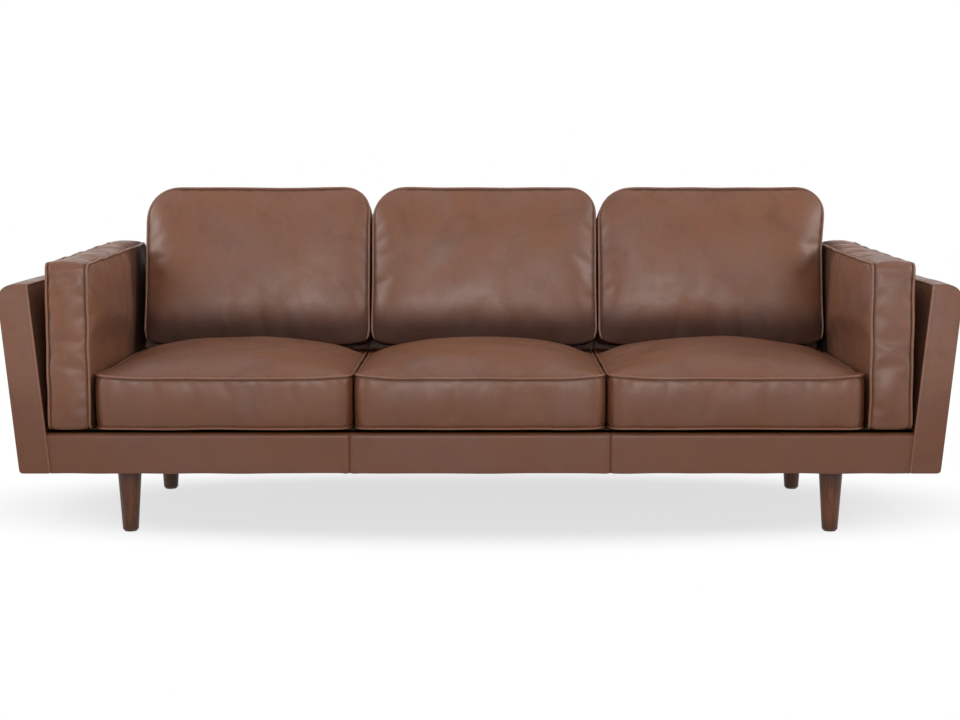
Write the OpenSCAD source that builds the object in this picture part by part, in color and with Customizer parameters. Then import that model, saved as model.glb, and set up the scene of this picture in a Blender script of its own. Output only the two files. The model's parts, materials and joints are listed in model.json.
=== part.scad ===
// Three-seat sofa: a wooden frame covered in leather, eight loose cushions and four turned legs.
// Millimetres. X runs along the sofa, -Y is its front, Z is up. The origin is on the floor, in the middle.

/* [Overall] */
// Width over the arms
sofa_w = 2440; // [2240:10:2700]
// Depth from the front piping to the rear of the back
sofa_d = 940; // [900:10:1040]
// Height to the top piping of the back cushions
sofa_h = 886; // [840:2:960]
// Height of the arms and of the back frame
arm_z = 650; // [610:5:690]
// Height of the underside above the floor
base_z = 166; // [120:2:190]
// Height of the deck that the loose cushions lie on
deck_z = 278; // [266:2:300]

/* [Arms and back] */
// Thickness of an arm, along the sofa
arm_t = 78; // [60:1:95]
// Outward lean of the arms, degrees
arm_lean = 5.7; // [3:0.1:9]
// Rounding of the outer top edges
edge_r = 40; // [20:1:48]
// Backward lean of the outside back, degrees
outback_lean = 7; // [3:0.5:9]
// Leather with the padding under it, on the frame
cover_t = 8; // [5:0.5:12]
// Height of the apron's padded top edge
apron_z = 270; // [258:1:272]
// How far the apron stands behind the front
apron_in = 6; // [4:0.5:15]
// How far the apron's two seams stand outside the middle seat cushion
seam_out = 10; // [0:1:40]
// Thickness of the back frame at the deck
back_frame_t = 129; // [110:1:150]

/* [Cushions] */
// Diameter of the piping
pipe_d = 8; // [5:0.5:9]
// Leather with the wadding under it, on the cushions
wrap_t = 6; // [5:0.5:9]
// How much wider than a third of the seat each outer seat cushion is
seat_extra = 5; // [0:1:20]
// Height of the seat cushions' top piping above the deck
seat_edge = 133; // [100:1:160]
// Rise of the seat cushions' crown over that piping
seat_crown = 42; // [20:1:55]
// How much narrower the row of back cushions is than the seat
back_slack = 26; // [0:1:60]
// Thickness of the back cushions
back_t = 200; // [160:2:220]
// Bulge of the back cushions' front over its piping
back_crown = 22; // [10:1:35]
// Backward lean of the back cushions, degrees
back_lean = 12; // [8:0.5:14]
// Radius of the back cushions' top corners
back_r = 95; // [50:1:130]
// Thickness of the arm cushions
arm_cushion_t = 112; // [85:1:112]
// Height of the arm cushions at their front
arm_cushion_z = 704; // [660:2:740]
// Rise of the arm cushions' top toward the back
arm_cushion_rise = 18; // [0:1:40]

/* [Legs] */
// Diameter of a leg at its top
leg_top_d = 62; // [50:1:70]
// Diameter of a leg at its foot
leg_foot_d = 41; // [34:1:50]
// Distance of the legs' axes from the ends of the arms
leg_end = 308; // [260:2:440]
// Distance of the front legs' axis behind the front
leg_front = 100; // [90:1:150]
// Distance of the rear legs' axis in front of the rear
leg_rear = 209; // [180:1:340]
// Thickness of the glide under a leg
glide_t = 3; // [2:0.5:6]
// Diameter of a hanger bolt
bolt_d = 8; // [6:1:10]
// Side of a leg plate
plate_w = 66; // [60:1:76]
// Thickness of a leg plate
plate_t = 3; // [2:0.5:4]

/* [Frame] */
// Thickness of the rails and posts
board_t = 35; // [25:1:40]
// Padding on the front rail's top
roll_t = 14; // [10:1:18]
// Depth of the apron's padded top edge
roll_d = 28; // [20:1:32]
// Width of the boards that the legs bolt to
leg_rail_w = 80; // [78:1:100]
// Thickness of those boards
leg_rail_t = 28; // [20:1:32]
// Side of a corner block
block_w = 80; // [60:1:100]
// Thickness of the deck cloth
deck_t = 3; // [2:0.5:4]
// Thickness of the dust cover
dust_t = 1; // [1:0.5:2]
// Wire of the zigzag springs
wire_d = 4; // [3:0.5:4.5]
// Distance between two bars of a spring
spring_pitch = 50; // [40:2:60]
// Springs under one seat
springs_per_seat = 3; // [2:1:4]
// Thickness of a spring clip's sheet
clip_t = 1.5; // [1:0.25:2]
// Width of the webbing straps in the back
strap_w = 50; // [40:1:70]
// Thickness of those straps
strap_t = 2.5; // [1.5:0.5:3]

/* [Clearances] */
// Between a loose cushion and what it lies on
rest_gap = 0.3; // [0.3:0.1:1]
// Between a loose cushion and its neighbours
side_gap = 1; // [0.6:0.1:3]
// Between an arm cushion and the seat cushions
arm_gap = 3.5; // [1:0.5:8]
// Between an arm cushion and its arm, at least
wall_gap = 8; // [2:0.5:12]
// Around piping in its groove, screws and bolts in their holes, and foam in its cover
fit = 0.1; // [0.05:0.05:0.3]

/* [Hidden] */
$fn = 48;
pipe_r = pipe_d / 2;
front = -sofa_d / 2;
face_y = front + pipe_r;
far = sofa_w + sofa_d;

// Arms: the outer corner before rounding, and the outer and inner faces at height z
arm_corner = sofa_w / 2 + edge_r * (tan(arm_lean) + 1 / cos(arm_lean) - 1);
function arm_out(z) = arm_corner + tan(arm_lean) * (z - arm_z);
function arm_in(z) = arm_out(z) - arm_t;

// Back: the back cushions' front plane, and the back frame's inner and outer faces at height z
back_corner = sofa_d / 2 + edge_r * (tan(outback_lean) + 1 / cos(outback_lean) - 1);
function back_out(z) = back_corner + tan(outback_lean) * (z - arm_z);
back_y = round(back_out(deck_z) - back_frame_t - (back_t + side_gap) / cos(back_lean));
function back_in(z) = back_y + (back_t + side_gap) / cos(back_lean) + tan(back_lean) * (z - deck_z);

// Widths of the seat and back cushions, in whole millimetres between the arm cushions
seat_half = floor(arm_in(deck_z) - wall_gap - arm_cushion_t - arm_gap);
seat_side_w = round(2 * (seat_half - side_gap) / 3) + seat_extra;
seat_mid_w = 2 * (seat_half - side_gap - seat_side_w);
back_pitch = floor((2 * seat_half - back_slack) / 3);
back_w = back_pitch - side_gap;
seam_x = seat_mid_w / 2 + seam_out;

// Seat cushions: depth, and the crown's arc of a given half width
seat_rear = back_in(deck_z) - side_gap;
seat_d = seat_rear - front;
seat_mid_y = (front + seat_rear) / 2;
seat_edge_z = deck_z + seat_edge;
function arc_r(half, rise) = (half * half + rise * rise) / (2 * rise);
seat_arc = arc_r(seat_d / 2 - pipe_r, seat_crown);
function seat_top(y) = seat_edge_z + seat_crown - seat_arc + sqrt(seat_arc ^ 2 - (y - seat_mid_y) ^ 2);

// Back cushions: heights along their slope, from the deck, that clear the seat cushions
function slope(y, z) = (y - back_y) * sin(back_lean) + (z - deck_z) * cos(back_lean);
seat_points = [for (k = [0:10]) let (y = back_y + (seat_rear - pipe_r - back_y) * k / 10) slope(y, seat_top(y))];
back_v0 = max(max(seat_points) + rest_gap, slope(seat_rear, seat_edge_z + pipe_r) + rest_gap,
  seat_points[1] + pipe_d + rest_gap);
back_v1 = (sofa_h - deck_z - pipe_r) / cos(back_lean);

// Frame heights
rail_z = base_z + dust_t;
rail_top = apron_z - roll_t;
plate_z = rail_z - plate_t;
wire_z = rail_top + clip_t + wire_d / 2;
apron_y = front + apron_in;
rail_y = apron_y + cover_t;
bay_y = rail_y + board_t + 5;
side_x = arm_in(rail_z) - board_t;
base_rear = back_out(rail_z) - cover_t / cos(outback_lean);
clip_d = wire_d + 2 * clip_t + 4;
spring_y0 = apron_y + roll_d + deck_t + 2 * clip_t + wire_d / 2;
spring_turns = 2 * floor((seat_rear - 20 - spring_y0) / (2 * spring_pitch));
spring_y1 = spring_y0 + spring_turns * spring_pitch;
spring_rail_y = spring_y1 - clip_d;
spring_rail_back = back_in(rail_top) + 2;
leg_x = sofa_w / 2 - leg_end;
leg_spots = [for (y = [front + leg_front, sofa_d / 2 - leg_rear], x = [-leg_x, leg_x]) [x, y]];
bolt_ys = [front + 0.18 * sofa_d, front + 0.69 * sofa_d];
bolt_z = (rail_z + rail_top) / 2;

function turn(p, q) = let (d = (q - p) / norm(q - p)) [-d.y, d.x];
function before(pts, i) = pts[(i + len(pts) - 1) % len(pts)];
function after(pts, i) = pts[(i + 1) % len(pts)];
// A convex outline, drawn anticlockwise, moved inward by t
function inset(pts, t) = [for (i = [0:len(pts) - 1])
  let (a = turn(before(pts, i), pts[i]), b = turn(pts[i], after(pts, i))) pts[i] + t * (a + b) / (1 + a * b)];
// One rounded corner: centre, start angle and sweep
function bend(pts, i, r) = let (
  a = turn(before(pts, i), pts[i]),
  b = turn(pts[i], after(pts, i)),
  sweep = acos(max(-1, min(1, a * b))))
  [pts[i] + r * (a + b) / (1 + a * b), atan2(-a.y, -a.x), sweep];
function polar(c, r, a) = c + r * [cos(a), sin(a)];
function rounded(pts, radii, steps = 7) = [for (i = [0:len(pts) - 1])
  let (r = radii[i], c = bend(pts, i, r)) each r <= 0 ? [pts[i]] : [for (k = [0:steps]) polar(c[0], r, c[1] + c[2] * k / steps)]];
function less(radii, t) = [for (r = radii) max(r - t, 0)];
// An arch over a base line: half its width, its springing and rise, moved inward by t, down to a low line
function arch(half, edge, rise, t, low, steps = 16) = let (r = arc_r(half, rise), a = asin(half / r)) concat(
  [[-half, low], [half, low]],
  [for (k = [0:steps]) polar([0, edge + rise - r], r - t, 90 - a + 2 * a * k / steps)]);
function box_outline(x0, x1, y0, y1) = [[x0, y0], [x1, y0], [x1, y1], [x0, y1]];

// Prisms along Y from [x, z] outlines and along X from [y, z] outlines
module front_prism(pts, y0, y1) {
  translate([0, y1, 0]) rotate([90, 0, 0]) linear_extrude(y1 - y0) polygon(pts);
}
module side_prism(pts, x0, x1) {
  translate([x0, 0, 0]) rotate([90, 0, 90]) linear_extrude(x1 - x0) polygon(pts);
}
module slab(x0, x1, y0, y1, z0, z1) {
  translate([x0, y0, z0]) cube([x1 - x0, y1 - y0, z1 - z0]);
}
module pair() {
  children();
  mirror([1, 0, 0]) children();
}
module rod(p, q, d) {
  v = q - p;
  translate(p) rotate([0, acos(v.z / norm(v)), atan2(v.y, v.x)]) cylinder(h = norm(v), d = d);
}
// What lies between the two leaning arms
function bay(z) = arm_in(z) - fit;
function between(z0, z1) = [[-bay(z0), z0], [bay(z0), z0], [bay(z1), z1], [-bay(z1), z1]];
module span(y0, y1, z0, z1) {
  front_prism(between(z0, z1), y0, y1);
}
// A closed loop of piping along a rounded outline in the XY plane
module piping(pts, radii, d) {
  for (i = [0:len(pts) - 1]) {
    r = radii[i];
    j = (i + 1) % len(pts);
    c = bend(pts, i, r);
    n = bend(pts, j, radii[j]);
    p = polar(c[0], r, c[1] + c[2]);
    q = polar(n[0], radii[j], n[1]);
    translate(c[0]) rotate([0, 0, c[1]]) rotate_extrude(angle = c[2]) translate([r, 0]) circle(d = d);
    rod([p.x, p.y, 0], [q.x, q.y, 0], d);
  }
}

// The same piping where the outline's corners aren't square, swept ring by ring
module swept_piping(pts, radii, d) {
  sides = 10;
  path = rounded(pts, radii);
  n = len(path);
  polyhedron(
    points = [for (k = [0:sides - 1]) let (a = 360 * k / sides) for (p = inset(path, -d / 2 * cos(a))) [p.x, p.y, d / 2 * sin(a)]],
    faces = [for (k = [0:sides - 1], i = [0:n - 1]) let (j = (i + 1) % n, m = (k + 1) % sides)
      [k * n + i, m * n + i, m * n + j, k * n + j]]);
}

// ---- Legs ----
leg_z0 = glide_t;
leg_len = plate_z - leg_z0;
bolt_deep = 40;
module leg(spot) {
  translate([spot.x, spot.y, leg_z0]) difference() {
    rotate_extrude() polygon([[0, 0], [leg_foot_d / 2 - 2.5, 0], [leg_foot_d / 2, 2.5],
      [leg_top_d / 2, leg_len - 2], [leg_top_d / 2 - 1, leg_len], [0, leg_len]]);
    translate([0, 0, leg_len - bolt_deep]) cylinder(h = bolt_deep + 1, d = bolt_d + fit);
  }
}
module glide(spot) {
  translate([spot.x, spot.y, 0]) cylinder(h = glide_t, d1 = leg_foot_d - 9, d2 = leg_foot_d - 6);
}
module leg_front_left() { color("#5a3422") leg(leg_spots[0]); }
module leg_front_right() { color("#5a3422") leg(leg_spots[1]); }
module leg_rear_left() { color("#5a3422") leg(leg_spots[2]); }
module leg_rear_right() { color("#5a3422") leg(leg_spots[3]); }
module glide_front_left() { color("#222222") glide(leg_spots[0]); }
module glide_front_right() { color("#222222") glide(leg_spots[1]); }
module glide_rear_left() { color("#222222") glide(leg_spots[2]); }
module glide_rear_right() { color("#222222") glide(leg_spots[3]); }

nut_h = 0.8 * bolt_d;
module hanger_bolts() {
  color("#9a9a9a") for (s = leg_spots) translate([s.x, s.y, 0]) {
    translate([0, 0, plate_z - bolt_deep + 1])
      cylinder(h = bolt_deep - 1 + plate_t + leg_rail_t + nut_h + 2, d = bolt_d - fit);
    translate([0, 0, rail_z + leg_rail_t]) cylinder(h = nut_h, d = 1.9 * bolt_d, $fn = 6);
  }
}
screw_d = 4;
screw_len = 20;
screw_at = plate_w / 2 - 8;
module leg_screw_places() {
  for (s = leg_spots, a = [45:90:359]) translate([s.x, s.y, plate_z]) rotate([0, 0, a])
    translate([screw_at * sqrt(2), 0, 0]) children();
}
module leg_screw(play) {
  cylinder(h = screw_len + play, d = screw_d + play);
  cylinder(h = 2.4 + play, d1 = 2 * screw_d + play, d2 = screw_d + play);
}
module leg_screws() { color("#b0b0b0") leg_screw_places() leg_screw(0); }
module leg_plates() {
  color("#8c8c8c") difference() {
    for (s = leg_spots) translate([s.x, s.y, plate_z]) translate([-plate_w / 2, -plate_w / 2, 0])
      cube([plate_w, plate_w, plate_t]);
    for (s = leg_spots) translate([s.x, s.y, plate_z - 1]) cylinder(h = plate_t + 2, d = bolt_d + fit);
    leg_screw_places() leg_screw(fit);
  }
}
module leg_rails() {
  color("#c9a26b") difference() {
    pair() slab(leg_x - leg_rail_w / 2, leg_x + leg_rail_w / 2, bay_y, base_rear - board_t, rail_z, rail_z + leg_rail_t);
    for (s = leg_spots) translate([s.x, s.y, rail_z - 1]) cylinder(h = leg_rail_t + 2, d = bolt_d + fit);
    leg_screw_places() leg_screw(fit);
  }
}

// ---- Base frame ----
module front_rail() { color("#d2ad78") span(rail_y, bay_y, rail_z, rail_top); }
module rear_rails() {
  color("#d2ad78") difference() {
    union() {
      span(base_rear - board_t, base_rear, rail_z, rail_top);
      slab(fit - side_x, side_x - fit, spring_rail_y, spring_rail_back, rail_z + leg_rail_t, rail_top);
    }
    for (s = leg_spots) translate([s.x, s.y, rail_z]) cylinder(h = leg_rail_t + nut_h + 4, d = 2.4 * bolt_d);
  }
}
module arm_bolt_holes(d) {
  pair() for (y = bolt_ys)
    rod([side_x - 20, y, bolt_z], [arm_in(bolt_z) + cover_t + board_t, y, bolt_z], d);
}
module side_rails() {
  color("#d2ad78") difference() {
    pair() front_prism([[side_x, rail_z], [bay(rail_z), rail_z], [bay(rail_top), rail_top], [side_x, rail_top]],
      bay_y + fit, base_rear - board_t - fit);
    arm_bolt_holes(bolt_d + fit);
  }
}
module arm_bolts() {
  color("#9a9a9a") pair() for (y = bolt_ys) {
    rod([side_x - nut_h, y, bolt_z], [arm_in(bolt_z) + cover_t + 0.85 * board_t, y, bolt_z], bolt_d - fit);
    translate([side_x - nut_h, y, bolt_z]) rotate([0, 90, 0]) cylinder(h = nut_h, d = 1.9 * bolt_d, $fn = 6);
  }
}
stretcher_z = rail_z + 20;
module stretchers() {
  color("#c9a26b") pair() slab(seam_x - board_t / 2, seam_x + board_t / 2, bay_y, spring_rail_y, stretcher_z, rail_top - 8);
}
module corner_blocks() {
  rear = base_rear - board_t - fit;
  rear_w = min(block_w, rear - spring_rail_back - fit);
  color("#b98f5a") pair() translate([side_x - fit, 0, stretcher_z + 8]) linear_extrude(rail_top - stretcher_z - 16) {
    translate([0, bay_y + fit]) polygon([[0, 0], [0, block_w], [-block_w, 0]]);
    translate([0, rear]) polygon([[0, 0], [-rear_w, 0], [0, -rear_w]]);
  }
}
module dust_cover() {
  color("#2a2a2a") difference() {
    span(rail_y, back_out(base_z) - cover_t / cos(outback_lean) - fit, base_z, rail_z);
    for (s = leg_spots) translate([s.x, s.y, base_z]) cube([plate_w + 2, plate_w + 2, 3 * dust_t], center = true);
  }
}

// ---- Seat suspension ----
seat_xs = [-(seat_mid_w + seat_side_w) / 2 - side_gap, 0, (seat_mid_w + seat_side_w) / 2 + side_gap];
spring_bar = 40;
spring_step = seat_mid_w / springs_per_seat;
spring_xs = [for (c = seat_xs, k = [0:springs_per_seat - 1]) c + (k - (springs_per_seat - 1) / 2) * spring_step];
module zigzag_spring() {
  for (k = [0:spring_turns]) translate([0, k * spring_pitch, 0]) rotate([0, 90, 0])
    cylinder(h = spring_bar, d = wire_d, center = true, $fn = 24);
  for (k = [0:spring_turns - 1]) translate([(k % 2 == 0 ? 1 : -1) * spring_bar / 2, (k + 0.5) * spring_pitch, 0])
    rotate([0, 0, k % 2 == 0 ? -90 : 90]) rotate_extrude(angle = 180, $fn = 24)
      translate([spring_pitch / 2, 0]) circle(d = wire_d);
}
module seat_springs() {
  color("#a8a8a8") for (x = spring_xs) translate([x, spring_y0, wire_z]) zigzag_spring();
}
// A folded clip, open toward the spring, in the YZ plane
module spring_clip() {
  t = clip_t;
  w = wire_d + fit;
  side_prism([[-w / 2 - t, -w / 2 - t], [w / 2 + 3, -w / 2 - t], [w / 2 + 3, -w / 2], [-w / 2, -w / 2],
    [-w / 2, w / 2], [w / 2 + 1, w / 2], [w / 2 + 1, w / 2 + t], [-w / 2 - t, w / 2 + t]], -9, 9);
}
module spring_clips() {
  color("#8c8c8c") for (x = spring_xs) {
    translate([x, spring_y0, wire_z + fit / 2]) spring_clip();
    translate([x, spring_y1, wire_z + fit / 2]) mirror([0, 1, 0]) spring_clip();
  }
}
deck_top = deck_z - rest_gap;
wire_top = wire_z + wire_d / 2;
module deck_pad() {
  color("#e4dcc8") span(spring_y0 + clip_d, spring_y1 - clip_d, wire_top + fit, deck_top - deck_t);
}
module seat_deck() {
  y0 = apron_y + roll_d;
  y1 = back_in(deck_top - deck_t) - fit;
  color("#3a2a22") intersection() {
    side_prism([[y0, rail_top], [y0 + deck_t, rail_top], [y0 + deck_t, deck_top - deck_t], [y1, deck_top - deck_t],
      [y1, deck_top], [y0, deck_top]], -far / 2, far / 2);
    span(front, sofa_d / 2, rail_top, deck_top);
  }
}

// ---- Apron ----
module apron_cover() {
  y = apron_y;
  profile = [[y, base_z], [y + cover_t, base_z], [y + cover_t, rail_top], [y + roll_d, rail_top],
    [y + roll_d, apron_z], [y, apron_z]];
  color("#7a4a35") difference() {
    intersection() {
      side_prism(rounded(profile, [0, 0, 0, 0, 5, 11]), -far / 2, far / 2);
      span(front, sofa_d / 2, base_z, apron_z);
    }
    pair() slab(seam_x - 0.8, seam_x + 0.8, y - 1, y + 1.5, base_z - 1, apron_z + 1);
    pair() arm_rebate();
  }
}

// ---- Arms ----
arm_section = [[arm_in(base_z), base_z], [arm_out(base_z), base_z], [arm_corner, arm_z], [arm_in(arm_z), arm_z]];
arm_side = [[face_y, base_z], [back_out(base_z), base_z], [back_corner, arm_z], [face_y, arm_z]];
module arm_shape(t) {
  intersection() {
    front_prism(rounded(inset(arm_section, t), less([0, 10, edge_r, 0], t)), front - 1, far / 2);
    side_prism(rounded(inset(arm_side, t), less([0, 10, edge_r, 6], t)), 0, far / 2);
  }
}
// Piping up the front's inner edge, then back along the top's inner edge
module arm_pipe(d, top_z) {
  low = [arm_in(base_z + pipe_r), face_y, base_z + pipe_r];
  rod(low, [arm_in(top_z), face_y, top_z], d);
  rod([arm_in(arm_z), front, arm_z - 1], [arm_in(arm_z), back_in(arm_z), arm_z - 1], d);
}
// Room for that piping along both edges
module arm_rebate() {
  t = pipe_r + fit;
  w = t / cos(arm_lean);
  low = base_z - 1;
  high = arm_z + 1;
  front_prism([[arm_in(low) - w, low], [arm_in(low) + w, low], [arm_in(high) + w, high], [arm_in(high) - w, high]],
    front - 1, face_y + t);
  slab(arm_in(arm_z) - t, arm_in(arm_z) + t, front - 1, back_in(arm_z) + 1, arm_z - 1 - t, high);
}
module arm_cover() {
  difference() {
    arm_shape(0);
    arm_shape(cover_t);
    arm_rebate();
    arm_bolt_holes(bolt_d + fit);
  }
}
module arm_cover_left() { color("#7f4f39") mirror([1, 0, 0]) arm_cover(); }
module arm_cover_right() { color("#7f4f39") arm_cover(); }
module arm_piping() { color("#643a2a") pair() arm_pipe(pipe_d, arm_z - 1 - pipe_r - fit); }
arm_rail_low = rail_top;
arm_rail_high = arm_z - cover_t - board_t;
module arm_rails() {
  color("#d2ad78") difference() {
    pair() {
      intersection() {
        arm_shape(cover_t);
        slab(0, far, front, far, base_z, arm_rail_low);
      }
      intersection() {
        arm_shape(cover_t);
        slab(0, far, front, far, arm_rail_high, arm_z);
      }
    }
    arm_bolt_holes(bolt_d + fit);
  }
}
module arm_posts() {
  ys = [face_y + cover_t, front + sofa_d / 2 - board_t / 2, back_out(arm_rail_low) - 2 * cover_t - board_t];
  color("#c9a26b") pair() for (y = ys) intersection() {
    arm_shape(cover_t);
    slab(0, far, y, y + board_t, arm_rail_low, arm_rail_high);
  }
}

// ---- Back ----
back_section = [[back_in(rail_top), rail_top], [back_out(rail_top), rail_top], [back_corner, arm_z], [back_in(arm_z), arm_z]];
module back_shape(t) {
  intersection() {
    side_prism(rounded(inset(back_section, t), less([0, 0, edge_r, 14], t)), -far / 2, far / 2);
    front_prism(inset(between(rail_top, arm_z), t), front, far / 2);
  }
}
module back_cover() {
  w = cover_t / cos(outback_lean);
  color("#774833") union() {
    difference() {
      back_shape(0);
      back_shape(cover_t);
    }
    intersection() {
      side_prism([[back_out(base_z) - w, base_z], [back_out(base_z), base_z], [back_out(rail_top), rail_top],
        [back_out(rail_top) - w, rail_top]], -far / 2, far / 2);
      span(front, far / 2, base_z, rail_top);
    }
  }
}
back_rail_low = rail_top + cover_t + board_t;
back_rail_high = arm_z - cover_t - board_t;
module back_rails() {
  color("#d2ad78") {
    intersection() {
      back_shape(cover_t);
      slab(-far / 2, far / 2, front, far, rail_top, back_rail_low);
    }
    intersection() {
      back_shape(cover_t);
      slab(-far / 2, far / 2, front, far, back_rail_high, arm_z);
    }
  }
}
module back_posts() {
  end_x = arm_in(back_rail_low) - cover_t - board_t;
  color("#c9a26b") pair() for (x = [[seam_x - board_t / 2, seam_x + board_t / 2], [end_x, far / 2]]) intersection() {
    back_shape(cover_t);
    translate([0, strap_t + fit, 0]) back_shape(cover_t);
    slab(x[0], x[1], front, far, back_rail_low, back_rail_high);
  }
}
strap_zone = (back_rail_high - back_rail_low) / cos(back_lean);
strap_space = (strap_zone - 3 * strap_w) / 4;
module back_webbing() {
  color("#e0d6c0") for (k = [0:2]) intersection() {
    back_shape(cover_t);
    translate([0, back_in(back_rail_low), back_rail_low]) rotate([-back_lean, 0, 0])
      slab(-far / 2, far / 2, cover_t, cover_t + strap_t, strap_space + k * (strap_w + strap_space),
        strap_space + k * (strap_w + strap_space) + strap_w);
  }
}

// ---- Seat cushions ----
seat_r = 26;
seat_radii = [seat_r, seat_r, seat_r, seat_r];
function seat_outline(w) = box_outline(-w / 2 + pipe_r, w / 2 - pipe_r, front + pipe_r, seat_rear - pipe_r);
module seat_block(w, t, z0, z1) {
  translate([0, 0, z0]) linear_extrude(z1 - z0) polygon(rounded(inset(seat_outline(w), t), less(seat_radii, t)));
}
module seat_shape(w, t) {
  intersection() {
    seat_block(w, t, deck_z + max(t - pipe_r, 0), seat_edge_z + seat_crown);
    translate([0, seat_mid_y, 0])
      side_prism(arch(seat_d / 2 - pipe_r, seat_edge_z, seat_crown, max(t - pipe_r, 0), 0), -w, w);
    front_prism(arch(w / 2 - pipe_r, seat_edge_z, seat_crown, max(t - pipe_r, 0), 0), front, seat_rear);
  }
}
module seat_pipe(w, d) {
  translate([0, 0, seat_edge_z]) piping(seat_outline(w), seat_radii, d);
  translate([0, 0, deck_z + pipe_r]) piping(seat_outline(w), seat_radii, d);
}
module seat_cover(x, w) {
  color("#83543e") translate([x, 0, 0]) difference() {
    union() {
      seat_shape(w, pipe_r);
      seat_block(w, 0, deck_z + pipe_d, seat_edge_z - pipe_r);
    }
    seat_shape(w, pipe_r + wrap_t);
  }
}
module seat_core(x, w) { color("#efe6b8") translate([x, 0, 0]) seat_shape(w, pipe_r + wrap_t + fit); }
module seat_piping(x, w) { color("#643a2a") translate([x, 0, 0]) seat_pipe(w, pipe_d); }
module seat_left_cover() { seat_cover(seat_xs[0], seat_side_w); }
module seat_left_core() { seat_core(seat_xs[0], seat_side_w); }
module seat_left_piping() { seat_piping(seat_xs[0], seat_side_w); }
module seat_middle_cover() { seat_cover(seat_xs[1], seat_mid_w); }
module seat_middle_core() { seat_core(seat_xs[1], seat_mid_w); }
module seat_middle_piping() { seat_piping(seat_xs[1], seat_mid_w); }
module seat_right_cover() { seat_cover(seat_xs[2], seat_side_w); }
module seat_right_core() { seat_core(seat_xs[2], seat_side_w); }
module seat_right_piping() { seat_piping(seat_xs[2], seat_side_w); }

// ---- Back cushions, in a frame that leans with them ----
back_low_r = 24;
back_radii = [back_low_r, back_low_r, back_r, back_r];
back_outline = box_outline(-back_w / 2 + pipe_r, back_w / 2 - pipe_r, back_v0, back_v1);
module leaning(k) {
  translate([k * back_pitch, back_y, deck_z]) rotate([-back_lean, 0, 0]) children();
}
module back_block(t, w0, w1) {
  front_prism(rounded(inset(back_outline, t), less(back_radii, t)), w0, w1);
}
module back_cushion_shape(t) {
  in = max(t - pipe_r, 0);
  intersection() {
    back_block(t, -back_crown, back_t - in);
    rotate([0, 0, 180]) linear_extrude(back_v1 + 1)
      polygon(arch(back_w / 2 - pipe_r, 0, back_crown, in, -back_t));
    translate([0, 0, (back_v0 + back_v1) / 2]) rotate([0, 90, 180]) linear_extrude(back_w, center = true)
      polygon(arch((back_v1 - back_v0) / 2, 0, back_crown, in, -back_t));
  }
}
module back_pipe(d) {
  for (w = [0, back_t - pipe_r]) translate([0, w, 0]) rotate([90, 0, 0]) piping(back_outline, back_radii, d);
}
module back_cushion_cover(k) {
  color("#7f503a") leaning(k) difference() {
    union() {
      back_cushion_shape(pipe_r);
      back_block(0, pipe_r, back_t - pipe_d);
    }
    back_cushion_shape(pipe_r + wrap_t);
  }
}
module back_cushion_core(k) { color("#efe6b8") leaning(k) back_cushion_shape(pipe_r + wrap_t + fit); }
module back_cushion_piping(k) { color("#643a2a") leaning(k) back_pipe(pipe_d); }
module back_left_cover() { back_cushion_cover(-1); }
module back_left_core() { back_cushion_core(-1); }
module back_left_piping() { back_cushion_piping(-1); }
module back_middle_cover() { back_cushion_cover(0); }
module back_middle_core() { back_cushion_core(0); }
module back_middle_piping() { back_cushion_piping(0); }
module back_right_cover() { back_cushion_cover(1); }
module back_right_core() { back_cushion_core(1); }
module back_right_piping() { back_cushion_piping(1); }

// ---- Arm cushions ----
arm_cushion_x = seat_half + arm_gap;
arm_cushion_top = arm_cushion_z + arm_cushion_rise;
arm_cushion_radii = [14, 12, 44, 20];
arm_cushion_outline = inset([[front, deck_z], [back_in(deck_z) - side_gap, deck_z],
  [back_in(arm_cushion_top) - side_gap, arm_cushion_top], [front, arm_cushion_z]], pipe_r);
module arm_cushion_shape(across, around) {
  side_prism(rounded(inset(arm_cushion_outline, around), less(arm_cushion_radii, around)),
    arm_cushion_x + pipe_r + across, arm_cushion_x + arm_cushion_t - pipe_r - across);
}
module arm_cushion_pipe(d) {
  for (x = [pipe_r, arm_cushion_t - pipe_r])
    translate([arm_cushion_x + x, 0, 0]) rotate([90, 0, 90]) swept_piping(arm_cushion_outline, arm_cushion_radii, d);
}
module arm_cushion_cover() {
  difference() {
    union() {
      arm_cushion_shape(0, pipe_r + fit);
      arm_cushion_shape(pipe_r + fit, 0);
    }
    arm_cushion_shape(wrap_t, pipe_r + wrap_t);
  }
}
module arm_left_cover() { color("#86563f") mirror([1, 0, 0]) arm_cushion_cover(); }
module arm_left_core() { color("#efe6b8") mirror([1, 0, 0]) arm_cushion_shape(wrap_t + fit, pipe_r + wrap_t + fit); }
module arm_left_piping() { color("#643a2a") mirror([1, 0, 0]) arm_cushion_pipe(pipe_d); }
module arm_right_cover() { color("#86563f") arm_cushion_cover(); }
module arm_right_core() { color("#efe6b8") arm_cushion_shape(wrap_t + fit, pipe_r + wrap_t + fit); }
module arm_right_piping() { color("#643a2a") arm_cushion_pipe(pipe_d); }

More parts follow.
